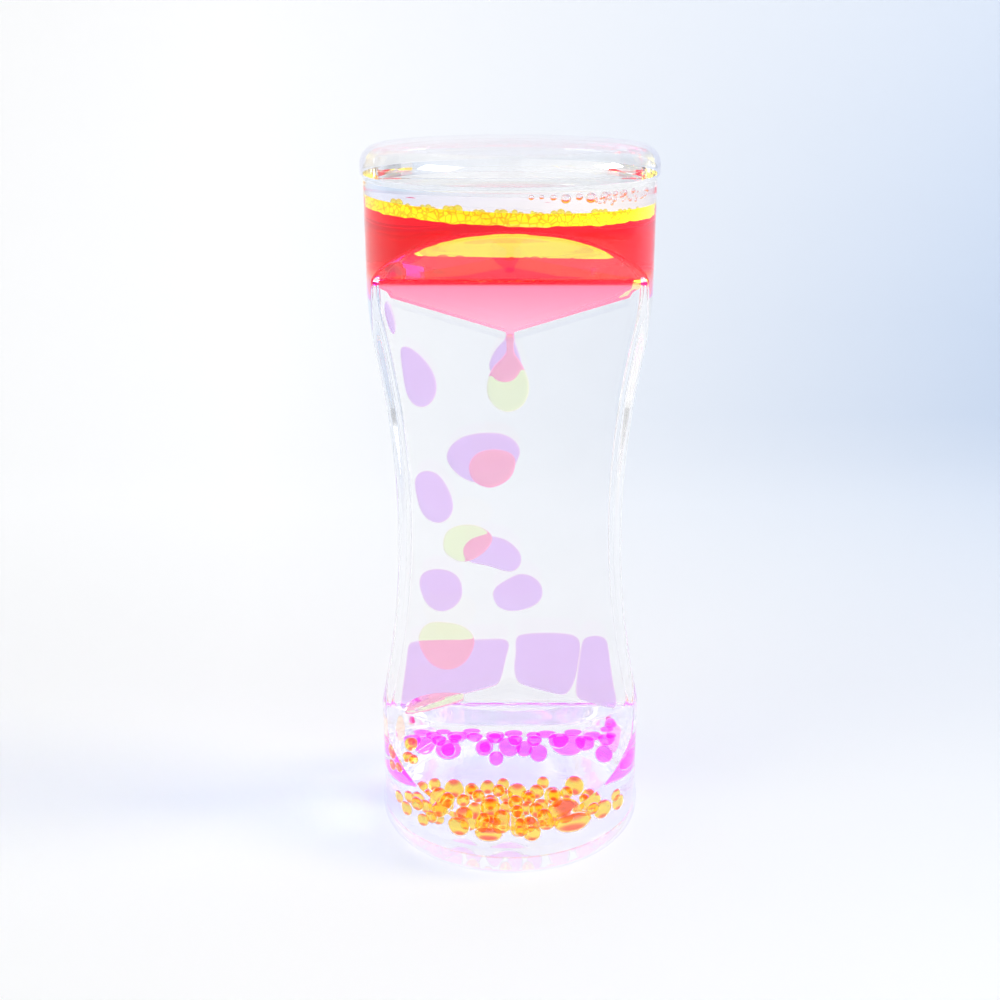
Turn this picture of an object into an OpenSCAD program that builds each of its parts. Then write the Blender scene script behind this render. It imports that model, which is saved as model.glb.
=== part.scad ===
// Liquid motion timer: a clear, oil-filled column with a waist, in which yellow
// water falls through the front chamber and magenta water through the rear one.
// Millimetres. Origin at the middle of the foot, +Z up, the front window faces -Y.

/* [Column] */
// Height from the foot to the top face
total_h = 140; // [132:1:148]
// Outer radius of the round ends
body_r = 27; // [26:0.5:28]
// Thickness of the clear outer wall
wall = 2.2; // [1.8:0.1:2.6]
// Half of the column's width at the waist
waist_half_w = 21.8; // [21:0.1:23]
// Radius of the long arcs that draw the sides in
waist_arc_r = 172; // [160:2:200]

/* [End caps] */
// Thickness of each end cap
cap_h = 5; // [4:0.5:6]
// How far a cap stands out past the wall
cap_lip = 0.5; // [0:0.1:0.8]
// Rounding of a cap's outer rim
cap_round = 3.4; // [1:0.2:3.6]
// Depth of the two half-round spigots that plug the chambers
spigot_h = 1.2; // [0.6:0.2:1.6]
// Radius of a filling plug
plug_r = 2; // [1.5:0.1:2.5]
// Distance of a filling plug from the middle plane
plug_y = 12; // [9:0.5:15]
// Length of a filling plug below its cap
plug_reach = 2; // [1.5:0.5:4]

/* [Windows] */
// Distance of each flat window from the middle plane
window_y = 9.2; // [8.6:0.1:9.8]
// Height above the foot at which the scoop leaves the round wall
scoop_start_z = 12.8; // [11.5:0.1:13.5]
// Height above the foot at which the slope reaches the window
scoop_floor_z = 23.5; // [22.5:0.1:24.5]
// Rounding between the slope and the window
scoop_round = 3; // [1:0.5:4]
// Thickness of the wall behind each scoop and window
window_wall = 3.2; // [2.8:0.1:3.4]

/* [Inside] */
// Thickness of the plate between the two chambers
divider_t = 1.2; // [0.8:0.2:1.6]
// Depth of the groove that holds the plate's edges
groove = 1; // [0.6:0.2:1.2]
// Height of the front chamber's upper ramp at its nozzle
upper_nozzle_z = 106.4; // [105:0.1:107.5]
// Height of the front chamber's lower ramp at its ridge
lower_ridge_z = 32; // [31.2:0.1:32.6]
// How much lower the rear chamber's ramps sit
rear_ramp_drop = 0.8; // [0:0.1:1]
// Rise of a ramp for each millimetre along it
ramp_rise = 0.3; // [0.28:0.01:0.31]
// Half of a ramp's length, which leaves a gap at each side wall
ramp_half_l = 22.2; // [21.5:0.1:22.4]
// Thickness of a ramp
ramp_t = 1.4; // [1:0.1:1.6]
// Radius of the nozzle in the middle of a ramp
nozzle_r = 0.85; // [0.7:0.05:1]

/* [Liquids] */
// Height of the yellow water's surface above the foot
yellow_level = 130.7; // [128:0.1:131.5]
// Height of the magenta water's surface above the foot
magenta_level = 128.3; // [126:0.1:130]
// Tilt of both surfaces, higher on the left, in degrees
level_tilt = 1.8; // [0:0.2:2.4]
// Thickness of a falling drop, squeezed between its two walls
drop_t = 4.7; // [4.2:0.1:4.8]
// Rounding of a drop's rim
drop_round = 1.5; // [1:0.1:1.8]
// Radius of a bead that lies on the floor
bead_r = 1.9; // [1.5:0.1:2]

/* [Hidden] */

// Fine steps for the big clear surfaces and coarse ones for small round pieces
$fn = 96;
small_fn = 32;
front = -1;
rear = 1;
mid_z = total_h / 2;
clear = "#eef4ff80";
yellow = "#f4f03cc0";
lime = "#ebfadcc0";
magenta = "#ff50e8c0";
lavender = "#dcc8ffc0";
// Gap between a liquid's solid and the plastic that it wets
wet_gap = 0.05;
// Middle of a chamber behind its window, measured from the middle plane
chamber_y = (divider_t / 2 + window_y - window_wall) / 2;
// Change in height of the scoop's slope for each millimetre of depth
slope = (scoop_floor_z - scoop_start_z) / (body_r - window_y);
slope_len = sqrt(1 + slope * slope);
past = 4;

// The corner of a scoop where its slope meets the window, grown by g
function scoop_corner(g) =
    [window_y - g, scoop_start_z + (body_r - window_y + g) * slope - g * slope_len];

// One half of a scoop's section, from the slope up to the middle height
module scoop_half_section(g) {
    r = scoop_round + g;
    corner = scoop_corner(g);
    // The corner's angle is a right angle and the slope's own angle together
    cut = r / tan((90 + atan(slope)) / 2);
    reach = body_r + past - corner[0];
    polygon([
        [corner[0], mid_z + 1],
        [corner[0], corner[1] + cut],
        [corner[0] + cut / slope_len, corner[1] - cut * slope / slope_len],
        [corner[0] + reach, corner[1] - reach * slope],
        [corner[0] + reach, mid_z + 1]
    ]);
    translate([corner[0] + r, corner[1] + cut]) circle(r);
}

// The bite that makes one flat window, on the side given by front or rear
module scoop(side, g) {
    translate([-body_r - past, 0, 0])
        rotate([90, 0, 90])
            linear_extrude(2 * (body_r + past))
                for (flip = [0, 1])
                    translate([0, flip * total_h])
                        mirror([0, flip])
                            mirror([side < 0 ? 1 : 0, 0]) scoop_half_section(g);
}

// The waisted column between two heights, drawn in by g, before its windows are cut
module column(g, z0, z1) {
    difference() {
        translate([0, 0, z0]) cylinder(r = body_r - g, h = z1 - z0);
        for (s = [-1, 1])
            translate([s * (waist_half_w + waist_arc_r), body_r + past, mid_z])
                rotate([90, 0, 0])
                    cylinder(r = waist_arc_r + g, h = 2 * (body_r + past), $fn = 360);
    }
}

// The column with both windows cut: g draws in the walls and scoop_g the windows
module form(g, scoop_g, z0, z1) {
    difference() {
        column(g, z0, z1);
        scoop(front, scoop_g);
        scoop(rear, scoop_g);
    }
}

// A slab that holds everything on one side, from y0 outwards
module side_slab(side, y0) {
    depth = body_r + past;
    translate([-depth, side < 0 ? -depth : y0, -past])
        cube([2 * depth, depth - y0, total_h + 2 * past]);
}

// The space inside one chamber, drawn in by g
module chamber(side, g, z0, z1) {
    intersection() {
        form(wall + g, window_wall + g, z0, z1);
        side_slab(side, divider_t / 2 + g);
    }
}

// A plate in the middle plane that reaches into the grooves of both shells
module divider_form(g, t) {
    intersection() {
        column(wall - groove + g, cap_h, total_h - cap_h);
        translate([-body_r, -t / 2, 0]) cube([2 * body_r, t, total_h]);
    }
}

module shell(side) {
    difference() {
        intersection() {
            form(0, 0, cap_h, total_h - cap_h);
            side_slab(side, 0);
        }
        form(wall, window_wall, cap_h - 1, total_h - cap_h + 1);
        divider_form(-wet_gap, divider_t);
    }
}

// A cap as it lies at the foot, with its outer face down
module cap() {
    lip_r = body_r + cap_lip;
    rotate_extrude() {
        difference() {
            square([lip_r, cap_h]);
            translate([lip_r - cap_round, 0]) square(cap_round);
        }
        intersection() {
            translate([lip_r - cap_round, cap_round]) circle(cap_round);
            square([lip_r, cap_round]);
        }
    }
    for (side = [front, rear])
        intersection() {
            translate([0, 0, cap_h - 0.5]) cylinder(r = body_r - wall - wet_gap, h = spigot_h + 0.5);
            side_slab(side, divider_t / 2 + wet_gap);
        }
}

module top_cap() {
    color(clear)
        difference() {
            translate([0, 0, total_h]) mirror([0, 0, 1]) cap();
            for (side = [front, rear])
                translate([0, side * plug_y, total_h - cap_h - past])
                    cylinder(r = plug_r, h = cap_h + 2 * past, $fn = small_fn);
        }
}

module bottom_cap() {
    color(clear) cap();
}

module fill_plug(side) {
    color(clear)
        translate([0, side * plug_y, total_h - cap_h - plug_reach])
            cylinder(r = plug_r - 0.02, h = cap_h + plug_reach, $fn = small_fn);
}

// A ramp of two slopes: rise is +1 for a funnel and -1 for a roof
module ramp(side, z, rise) {
    climb = rise * ramp_rise * ramp_half_l;
    color(clear)
        difference() {
            intersection() {
                translate([0, body_r, 0])
                    rotate([90, 0, 0])
                        linear_extrude(2 * body_r)
                            polygon([
                                [0, z], [ramp_half_l, z + climb], [ramp_half_l, z + climb - ramp_t],
                                [0, z - ramp_t],
                                [-ramp_half_l, z + climb - ramp_t], [-ramp_half_l, z + climb]
                            ]);
                chamber(side, 0, cap_h, total_h - cap_h);
            }
            translate([0, side * chamber_y, z - ramp_t - 1])
                cylinder(r = nozzle_r, h = ramp_t + 2, $fn = small_fn);
        }
}

// Height of a chamber's upper nozzle and of its lower ridge
function nozzle_z(side) = upper_nozzle_z - (side > 0 ? rear_ramp_drop : 0);
function ridge_z(side) = lower_ridge_z - (side > 0 ? rear_ramp_drop : 0);

// What lies below a tilted surface and above the upper ramp
module below_surface(side, level) {
    size = 3 * body_r;
    low = nozzle_z(side);
    end = low + ramp_rise * ramp_half_l;
    intersection() {
        translate([0, 0, level])
            rotate([0, level_tilt, 0])
                translate([-size, -size, -2 * body_r]) cube([2 * size, 2 * size, 2 * body_r]);
        translate([0, body_r, 0])
            rotate([90, 0, 0])
                linear_extrude(2 * body_r)
                    polygon([
                        [0, low + wet_gap],
                        [ramp_half_l, end + wet_gap],
                        [ramp_half_l + 0.4, end + 1],
                        [body_r, end + 4],
                        [body_r, total_h],
                        [-body_r, total_h],
                        [-body_r, end + 4],
                        [-ramp_half_l - 0.4, end + 1],
                        [-ramp_half_l, end + wet_gap]
                    ]);
    }
}

// The thread of liquid that joins a pool to the drop that hangs below its nozzle
module neck(side, low, high) {
    translate([0, side * chamber_y, low])
        cylinder(r = nozzle_r - wet_gap, h = high - low, $fn = small_fn);
}

module upper_pool(side, level) {
    intersection() {
        chamber(side, wet_gap, cap_h, total_h - cap_h);
        below_surface(side, level);
    }
    neck(side, nozzle_z(side) - ramp_t / 2, nozzle_z(side) + ramp_t);
}

module front_upper_pool() {
    color(yellow) upper_pool(front, yellow_level);
}

// The magenta water has drawn back from the right end of its ramp
module rear_upper_pool() {
    low = nozzle_z(rear);
    back_x = 11;
    color(magenta)
        difference() {
            upper_pool(rear, magenta_level);
            translate([0, body_r, 0])
                rotate([90, 0, 0])
                    linear_extrude(2 * body_r)
                        polygon([
                            [back_x, low + back_x * ramp_rise],
                            [14.4, low + 4.8],
                            [20, low + 6.4],
                            [22.8, low + 8.6],
                            [23.4, low + 14],
                            [body_r, low + 14],
                            [body_r, low]
                        ]);
        }
}

// Outlines: an egg shape, and corner cutting that rounds a hand-drawn outline
function egg(half_w, half_h, pull, n = 28) =
    [for (i = [0 : n - 1])
        let (a = 360 * i / n)
        [half_w * cos(a) * (1 + pull * sin(a)), half_h * sin(a)]];

function cut_corners(p) =
    [for (i = [0 : len(p) - 1], k = [0, 1])
        let (a = p[i], b = p[(i + 1) % len(p)])
        k == 0 ? 0.75 * a + 0.25 * b : 0.25 * a + 0.75 * b];

function unit(v) = v / norm(v);

// An anticlockwise outline, drawn in by d along its own normals
function drawn_in(p, d) =
    [for (i = [0 : len(p) - 1])
        let (n = len(p), t = unit(p[(i + 1) % n] - p[(i + n - 1) % n]))
        p[i] + d * [-t[1], t[0]]];

// A flat drop between two walls: the outline in X and Z, and a rim rounded by r
module flat_drop(outline, side, r = drop_round, t = drop_t) {
    n = len(outline);
    steps = 6;
    last = steps * n;
    rings = [for (j = [0 : steps])
        let (a = -90 + 180 * j / steps, y = side * chamber_y + (t / 2 - r) * sign(j - steps / 2))
        [for (p = drawn_in(outline, r * (1 - cos(a)))) [p[0], y + r * sin(a), p[1]]]];
    polyhedron(
        points = [for (ring = rings) each ring],
        faces = concat(
            [[for (i = [n - 1 : -1 : 0]) i]],
            [for (j = [0 : steps - 1], i = [0 : n - 1])
                let (k = (i + 1) % n)
                each [[j * n + i, (j + 1) * n + k, (j + 1) * n + i],
                    [j * n + i, j * n + k, (j + 1) * n + k]]],
            [[for (i = [0 : n - 1]) last + i]]
        ));
}

// An egg-shaped drop: its middle, its half sizes, its turn and how far it narrows
module egg_drop(side, x, z, half_w, half_h, turn = 0, pull = 0, r = drop_round) {
    flat_drop([for (p = egg(half_w, half_h, pull))
        [x + p[0] * cos(turn) - p[1] * sin(turn), z + p[0] * sin(turn) + p[1] * cos(turn)]], side, r);
}

module hanging_drop(side, x, z, half_w, half_h, pull) {
    egg_drop(side, x, z, half_w, half_h, 0, pull);
    neck(side, z, nozzle_z(side) - ramp_t / 2 - wet_gap);
}

module front_hanging_drop() { color(lime) hanging_drop(front, -0.3, 96.5, 3.9, 5.3, -0.12); }
module rear_hanging_drop() { color(lavender) hanging_drop(rear, -0.9, 99.8, 3.2, 3.1, 0); }

// A resting drop: a hand-drawn outline with its corners cut twice
module resting_drop(outline, side, r = drop_round) {
    flat_drop(cut_corners(cut_corners(outline)), side, r);
}

// The top of a lower ramp, x away from its ridge
function on_ramp(side, x) = ridge_z(side) - ramp_rise * abs(x) + 2 * wet_gap;

// The pile of round beads on one chamber's floor, in staggered rows and two layers
module floor_beads(side, r) {
    pitch = 2 * r + 0.35;
    row = pitch * 0.87;
    floor_r = body_r - wall - r - 0.3;
    for (layer = [0, 1], j = [0 : 5 - layer], i = [-6 : 6]) {
        x = (i + 0.5 * ((j + layer) % 2)) * pitch;
        y = divider_t / 2 + r + 0.3 + (j + layer * 0.5) * row;
        bead = r * (1 - 0.12 * abs(sin(97 * i + 61 * j + 40 * layer)));
        if (norm([x, y]) < floor_r - layer)
            translate([x, side * y, cap_h + spigot_h + 0.1 + bead + layer * 1.75 * r])
                sphere(r = bead, $fn = small_fn);
    }
}

// The falling drops, one call for each: yellow in front and magenta behind
module front_drop_1() { color(lime) egg_drop(front, -3.3, 79.7, 4.9, 4.1); }
module front_drop_2() { color(lime) egg_drop(front, -8.4, 64.1, 5.2, 3.8, -5); }
module front_drop_3() { color(lime) egg_drop(front, -13, 41.9, 5.7, 5, 0, -0.1); }
module rear_drop_1() { color(lavender) egg_drop(rear, -16.9, 96.6, 3.9, 6.2, 14, -0.1); }
module rear_drop_2() { color(lavender) egg_drop(rear, -5.5, 80.3, 7.3, 4.9, -8); }
module rear_drop_3() { color(lavender) egg_drop(rear, -15, 72.2, 3.7, 5.4, 12); }
module rear_drop_4() { color(lavender) egg_drop(rear, -2.8, 59.7, 5.3, 3.5, -14); }
module rear_drop_5() { color(lavender) egg_drop(rear, -14.2, 51.8, 4.5, 4.6); }
module rear_drop_6() { color(lavender) egg_drop(rear, 1.5, 51.3, 5.2, 3.9, 8); }

// The three drops that lie side by side on the rear chamber's lower ramp
module rear_resting_left() {
    color(lavender)
        resting_drop([
            [-21.4, on_ramp(rear, 21.4)], [-3, on_ramp(rear, 3)],
            [-0.6, 36], [-0.5, 40.4], [-11, 40.8], [-21.4, 40.4]
        ], rear);
}

module rear_resting_middle() {
    color(lavender)
        resting_drop([
            [2, on_ramp(rear, 2)], [11.6, on_ramp(rear, 11.6)],
            [14, 33], [14.5, 41.4], [8, 42.2], [0.8, 41.6], [0.9, 35]
        ], rear);
}

module rear_resting_right() {
    color(lavender)
        resting_drop([
            [14.6, on_ramp(rear, 14.6)], [21.8, on_ramp(rear, 21.8)],
            [22, 30], [21, 41.6], [17.4, 41.8], [15.4, 36]
        ], rear, 1.2);
}

// A thin layer of yellow water that slides down the front chamber's lower ramp
module front_ramp_film() {
    color(lime)
        resting_drop([
            [-22, on_ramp(front, 22)], [-9.4, on_ramp(front, 9.4)],
            [-9.6, on_ramp(front, 9.6) + 1], [-17, on_ramp(front, 17) + 3.2],
            [-22, on_ramp(front, 22) + 2.4]
        ], front, 0.6);
}

// Drops that slip through the gaps between the ramps' ends and the side walls
module front_gap_drop() { color(yellow) egg_drop(front, -23.1, 21.4, 1, 3.4, 0, 0, 0.6); }
module rear_gap_drop() { color(magenta) egg_drop(rear, 22.4, 16, 1.5, 5.2, 0, 0, 0.8); }
module rear_side_sliver() { color(lavender) egg_drop(rear, -22.8, 108.3, 0.75, 3.2, 13, 0, 0.5); }

color(clear) shell(front);  // front_shell
color(clear) shell(rear);  // rear_shell
color(clear) divider_form(0, divider_t - 0.04);  // divider
top_cap();
bottom_cap();
fill_plug(front);  // front_fill_plug
fill_plug(rear);  // rear_fill_plug
ramp(front, nozzle_z(front), 1);  // front_upper_ramp
ramp(rear, nozzle_z(rear), 1);  // rear_upper_ramp
ramp(front, ridge_z(front), -1);  // front_lower_ramp
ramp(rear, ridge_z(rear), -1);  // rear_lower_ramp
front_upper_pool();
rear_upper_pool();
front_hanging_drop();
rear_hanging_drop();
front_drop_1();
front_drop_2();
front_drop_3();
rear_drop_1();
rear_drop_2();
rear_drop_3();
rear_drop_4();
rear_drop_5();
rear_drop_6();
rear_resting_left();
rear_resting_middle();
rear_resting_right();
front_ramp_film();
front_gap_drop();
rear_gap_drop();
rear_side_sliver();
color(yellow) floor_beads(front, bead_r);  // front_floor_beads
color(magenta) floor_beads(rear, bead_r);  // rear_floor_beads
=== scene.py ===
"""Looks of a liquid motion timer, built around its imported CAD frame.

A clear waisted column stands on its lower cap. Yellow water falls through the oil of
its front chamber and magenta water through the rear one. Lengths in the classes are
millimetres, and the workbench turns them into Blender's metres.
"""

import logging
import math
import random
from collections.abc import Callable, Iterable, Sequence
from dataclasses import dataclass, field, replace
from enum import Enum

import bpy
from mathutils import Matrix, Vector


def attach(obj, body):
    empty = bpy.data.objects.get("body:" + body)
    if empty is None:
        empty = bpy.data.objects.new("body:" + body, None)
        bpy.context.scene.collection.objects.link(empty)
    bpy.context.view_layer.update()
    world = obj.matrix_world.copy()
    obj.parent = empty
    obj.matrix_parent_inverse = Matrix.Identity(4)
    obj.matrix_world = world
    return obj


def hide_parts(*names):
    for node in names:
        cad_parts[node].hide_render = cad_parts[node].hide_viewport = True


MM = 0.001
LOG = logging.getLogger("timer")
Colour = tuple[float, float, float]
Point = tuple[float, float]
Point3 = tuple[float, float, float]
Spot = tuple[Point3, float, float]


class Side(Enum):
    """The two chambers, by the direction of their window along Y."""

    FRONT = -1
    REAR = 1

    @property
    def prefix(self) -> str:
        """The word that the frame's node names start with."""
        return self.name.lower()


class Body(Enum):
    """The frame's bodies, which every piece rides on."""

    COLUMN = "column"
    FRONT_STREAM = "front_stream"
    REAR_STREAM = "rear_stream"


class Slot(Enum):
    """The record's material slots."""

    CLEAR = "clear_acrylic"
    YELLOW = "yellow_water"
    MAGENTA = "magenta_water"
    THIN_YELLOW = "thin_yellow_water"
    THIN_MAGENTA = "thin_magenta_water"


def linear(red: int, green: int, blue: int) -> Colour:
    """Turns a colour as seen on a screen into Blender's linear values.

    Args:
        red: Red, 0 to 255.
        green: Green, 0 to 255.
        blue: Blue, 0 to 255.

    Returns:
        The linear colour.
    """
    def one(level: int) -> float:
        """Turns one channel."""
        share = level / 255
        return share / 12.92 if share <= 0.04045 else ((share + 0.055) / 1.055) ** 2.4
    return one(red), one(green), one(blue)


# Finishes


@dataclass(frozen=True)
class Finish:
    """What all finishes share: a material that is built once, under its own name."""

    name: str

    def material(self) -> bpy.types.Material:
        """Builds the material, or finds it where another piece has built it.

        Returns:
            The material.
        """
        found = bpy.data.materials.get(self.name)
        if found:
            return found
        material = bpy.data.materials.new(self.name)
        material.use_nodes = True
        tree = material.node_tree
        tree.nodes.clear()
        output = tree.nodes.new("ShaderNodeOutputMaterial")
        tree.links.new(self._surface(tree), output.inputs["Surface"])
        return material

    def _surface(self, tree: bpy.types.NodeTree) -> bpy.types.NodeSocket:
        """Adds the finish's own nodes and returns the socket of its surface."""
        raise NotImplementedError


@dataclass(frozen=True)
class ClearFinish(Finish):
    """Clear plastic or liquid, with soft moulding waves and a light shadow.

    Attributes:
        ior: Refraction index against what lies outside the surface.
        tint: Share of each colour that passes through the whole piece.
        shadow: Share of each colour that one surface lets through to the floor.
        wave: Height of the moulding waves, in millimetres.
        wave_size: Waves for each metre.
        stops: Heights in millimetres with the tint that the water has there, which
            grows deeper where the chamber is deeper, or nothing for one tint.
        coat: Refraction index of a polished skin, or 0 for none.
        rim: Painted rim light, or None: a tint at the very edge, where a round drop
        throws the light back; a lighter one paints a highlight there, a darker one
        paints edge shade.
        behind: Tint of a drop that is seen through a drop of the other chamber, or None.
        cloud: How much the tint varies from place to place.
        painted_crown_light: Painted top light on a bead, or None: the tint of its
        upward faces, which stands in for the light that falls on them from above.
        glow: Painted glow: light that the surface gives off, though it is no lamp.
        gloss: Strength of the mirror image on the surface, where 0.5 is plain plastic.
        painted_crown_light_span: How far a face looks up where the painted top light
        starts and where it is full.
        painted_rim_light_span: The same for the painted rim light, as how far the
        surface turns away.
        second_chamber: Clear surfaces that light has passed when it reaches a drop
            behind another one.
    """

    ior: float
    tint: Colour = (1.0, 1.0, 1.0)
    shadow: Colour = (0.84, 0.88, 0.96)
    wave: float = 0.0
    wave_size: float = 60.0
    stops: tuple[tuple[float, Colour], ...] = ()
    coat: float = 0.0
    rim: Colour | None = None
    behind: Colour | None = None
    cloud: float = 0.02
    painted_crown_light: Colour | None = None
    glow: Colour | None = None
    gloss: float = 0.5
    painted_crown_light_span: tuple[float, float] = (0.70, 0.95)
    painted_rim_light_span: tuple[float, float] = (0.55, 0.9)
    second_chamber: float = 5.5

    def _surface(self, tree: bpy.types.NodeTree) -> bpy.types.NodeSocket:
        """Adds the clear surface, which casts only a light shadow.

        Args:
            tree: The material's node tree.

        Returns:
            The surface's socket.
        """
        nodes, links = tree.nodes, tree.links
        shader = nodes.new("ShaderNodeBsdfPrincipled")
        links.new(self._tint(tree), shader.inputs["Base Color"])
        shader.inputs["Roughness"].default_value = 0.0
        shader.inputs["IOR"].default_value = self.ior
        shader.inputs["Specular IOR Level"].default_value = self.gloss
        shader.inputs["Transmission Weight"].default_value = 1.0
        if self.coat:
            shader.inputs["Coat Weight"].default_value = 1.0
            shader.inputs["Coat Roughness"].default_value = 0.02
            shader.inputs["Coat IOR"].default_value = self.coat
        # Painted glow: the surface gives off light, though it is no lamp.
        if self.glow:
            shader.inputs["Emission Color"].default_value = (*self.glow, 1)
            shader.inputs["Emission Strength"].default_value = 1.0
        if self.wave:
            links.new(self._waves(tree), shader.inputs["Normal"])
        light = nodes.new("ShaderNodeLightPath")
        passing = nodes.new("ShaderNodeBsdfTransparent")
        passing.inputs["Color"].default_value = (*self.shadow, 1)
        mix = nodes.new("ShaderNodeMixShader")
        links.new(light.outputs["Is Shadow Ray"], mix.inputs["Fac"])
        links.new(shader.outputs["BSDF"], mix.inputs[1])
        links.new(passing.outputs["BSDF"], mix.inputs[2])
        return mix.outputs["Shader"]

    def _tint(self, tree: bpy.types.NodeTree) -> bpy.types.NodeSocket:
        """Adds the tint with its soft clouds, its painted top light, its painted rim light
        and its look behind a drop.

        Args:
            tree: The material's node tree.

        Returns:
            The tint's socket.
        """
        nodes, links = tree.nodes, tree.links
        place = nodes.new("ShaderNodeTexCoord")
        if self.stops:
            tint = self._by_height(tree, place.outputs["Object"])
        else:
            noise = nodes.new("ShaderNodeTexNoise")
            noise.inputs["Scale"].default_value = 180
            noise.inputs["Detail"].default_value = 2.0
            links.new(place.outputs["Object"], noise.inputs["Vector"])
            deep = tuple(level * (1 - self.cloud) for level in self.tint)
            tint = self._mixed(tree, noise.outputs["Fac"], self.tint, deep)
        # Painted top light: the faces that look up take another tint, as if lit from above.
        if self.painted_crown_light:
            split = nodes.new("ShaderNodeSeparateXYZ")
            links.new(place.outputs["Normal"], split.inputs["Vector"])
            upper = self._soft_step(tree, split.outputs["Z"], self.painted_crown_light_span)
            tint = self._mixed(tree, upper, tint, self.painted_crown_light)
        # Painted rim light: where the surface turns away, the edge takes another tint; a
        # lighter one paints a highlight, a darker one paints edge shade.
        if self.rim:
            edge = nodes.new("ShaderNodeLayerWeight")
            edge.inputs["Blend"].default_value = 0.5
            away = self._soft_step(tree, edge.outputs["Facing"], self.painted_rim_light_span)
            tint = self._mixed(tree, away, tint, self.rim)
        if self.behind:
            light = nodes.new("ShaderNodeLightPath")
            later = nodes.new("ShaderNodeMath")
            later.operation = "GREATER_THAN"
            later.inputs[1].default_value = self.second_chamber
            links.new(light.outputs["Transmission Depth"], later.inputs[0])
            tint = self._mixed(tree, later.outputs["Value"], tint, self.behind)
        return tint

    @staticmethod
    def _soft_step(tree: bpy.types.NodeTree, value: bpy.types.NodeSocket,
                   span: tuple[float, float]) -> bpy.types.NodeSocket:
        """Adds a share that rises softly from 0 to 1.

        Args:
            tree: The material's node tree.
            value: The socket it follows.
            span: The values at which it starts and ends.

        Returns:
            The share's socket.
        """
        step = tree.nodes.new("ShaderNodeMapRange")
        step.interpolation_type = "SMOOTHSTEP"
        step.inputs["From Min"].default_value, step.inputs["From Max"].default_value = span
        tree.links.new(value, step.inputs["Value"])
        return step.outputs["Result"]

    def _by_height(self, tree: bpy.types.NodeTree,
                   place: bpy.types.NodeSocket) -> bpy.types.NodeSocket:
        """Adds a tint that follows the height above the foot.

        Args:
            tree: The material's node tree.
            place: The object's coordinates.

        Returns:
            The tint's socket.
        """
        split = tree.nodes.new("ShaderNodeSeparateXYZ")
        tree.links.new(place, split.inputs["Vector"])
        low, high = self.stops[0][0], self.stops[-1][0]
        span = tree.nodes.new("ShaderNodeMapRange")
        span.inputs["From Min"].default_value = low * MM
        span.inputs["From Max"].default_value = high * MM
        tree.links.new(split.outputs["Z"], span.inputs["Value"])
        ramp = tree.nodes.new("ShaderNodeValToRGB")
        elements = ramp.color_ramp.elements
        while len(elements) < len(self.stops):
            elements.new(0.5)
        for element, (height, tint) in zip(elements, self.stops):
            element.position = (height - low) / (high - low)
            element.color = (*tint, 1)
        tree.links.new(span.outputs["Result"], ramp.inputs["Fac"])
        return ramp.outputs["Color"]

    @staticmethod
    def _mixed(tree: bpy.types.NodeTree, share: bpy.types.NodeSocket,
               first: Colour | bpy.types.NodeSocket,
               second: Colour | bpy.types.NodeSocket) -> bpy.types.NodeSocket:
        """Adds a mix of two tints.

        Args:
            tree: The material's node tree.
            share: The socket that gives the second tint's share.
            first: The tint at share 0.
            second: The tint at share 1.

        Returns:
            The mixed tint's socket.
        """
        mix = tree.nodes.new("ShaderNodeMix")
        mix.data_type = "RGBA"
        for socket, tint in ((mix.inputs[6], first), (mix.inputs[7], second)):
            if isinstance(tint, bpy.types.NodeSocket):
                tree.links.new(tint, socket)
            else:
                socket.default_value = (*tint, 1)
        tree.links.new(share, mix.inputs[0])
        return mix.outputs[2]

    def _waves(self, tree: bpy.types.NodeTree) -> bpy.types.NodeSocket:
        """Adds the soft waves of moulded plastic.

        Args:
            tree: The material's node tree.

        Returns:
            The socket that gives the bumped normal.
        """
        place = tree.nodes.new("ShaderNodeTexCoord")
        noise = tree.nodes.new("ShaderNodeTexNoise")
        noise.inputs["Scale"].default_value = self.wave_size
        noise.inputs["Detail"].default_value = 1.0
        bump = tree.nodes.new("ShaderNodeBump")
        bump.inputs["Distance"].default_value = self.wave * MM
        bump.inputs["Strength"].default_value = 1.0
        tree.links.new(place.outputs["Object"], noise.inputs["Vector"])
        tree.links.new(noise.outputs["Fac"], bump.inputs["Height"])
        return bump.outputs["Normal"]


@dataclass(frozen=True)
class BondedFinish(Finish):
    """A face that is bonded to its neighbour, through which light passes unchanged."""

    name: str = "bonded_joint"

    def _surface(self, tree: bpy.types.NodeTree) -> bpy.types.NodeSocket:
        """Adds the plain passage of light and returns its socket."""
        return tree.nodes.new("ShaderNodeBsdfTransparent").outputs["BSDF"]


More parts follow.
